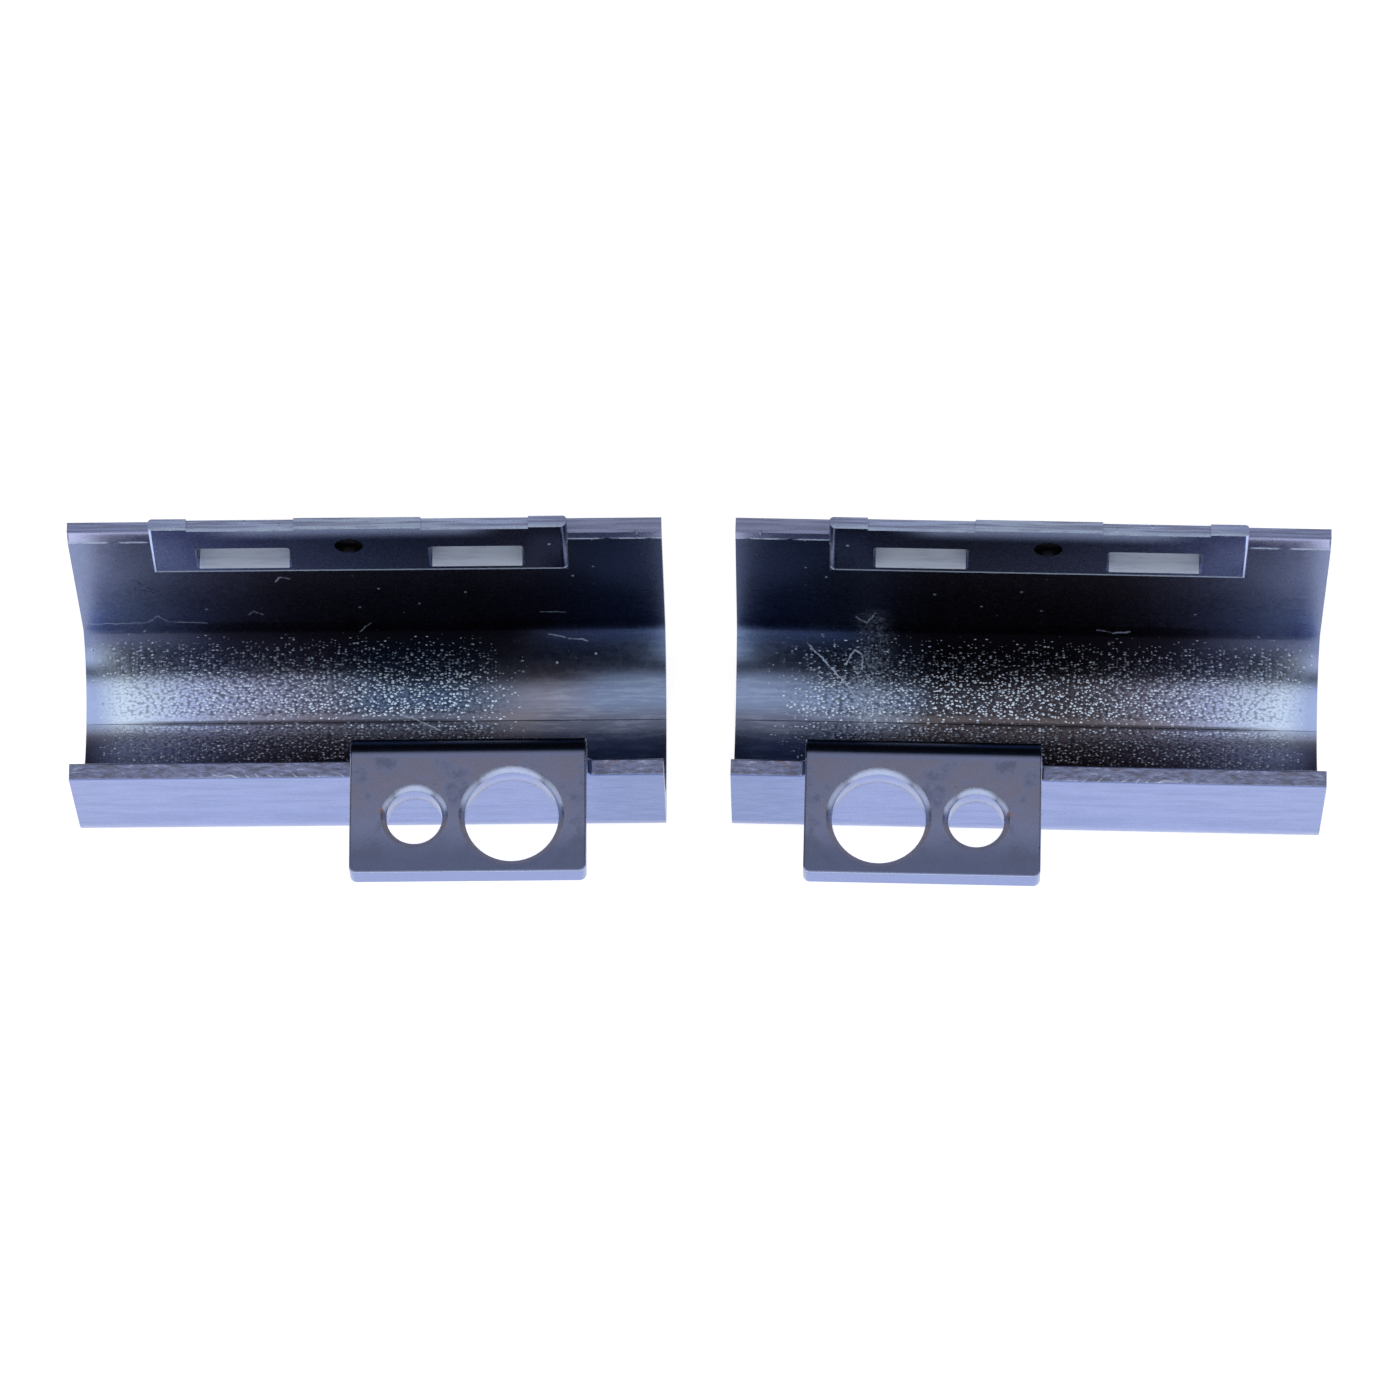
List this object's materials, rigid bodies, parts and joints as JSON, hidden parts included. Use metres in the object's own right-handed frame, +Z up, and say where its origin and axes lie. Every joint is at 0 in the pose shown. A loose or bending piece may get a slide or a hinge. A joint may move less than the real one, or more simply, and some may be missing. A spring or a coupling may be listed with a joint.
{
  "type": "pair of laptop hinge covers",
  "caption": "Mirror-image pair of open channel covers for laptop hinges, each with a slotted tongue on its tall wall and a folded screw tab on its lip.",
  "frame": {"origin": "middle of the pair's outline, on the table that both covers lie on", "axes": "+X from the left cover to the right one, +Y from the tabs to the tall walls, +Z up out of the channels"},
  "size_m": [0.0638, 0.019, 0.0156],
  "materials": {
    "plated_casting": "zinc casting under dark bluish nickel plate, satin, pebbly inside the trough"
  },
  "bodies": {
    "root": {"left_hinge_cover": "plated_casting", "right_hinge_cover": "plated_casting"}
  },
  "joints": []
}
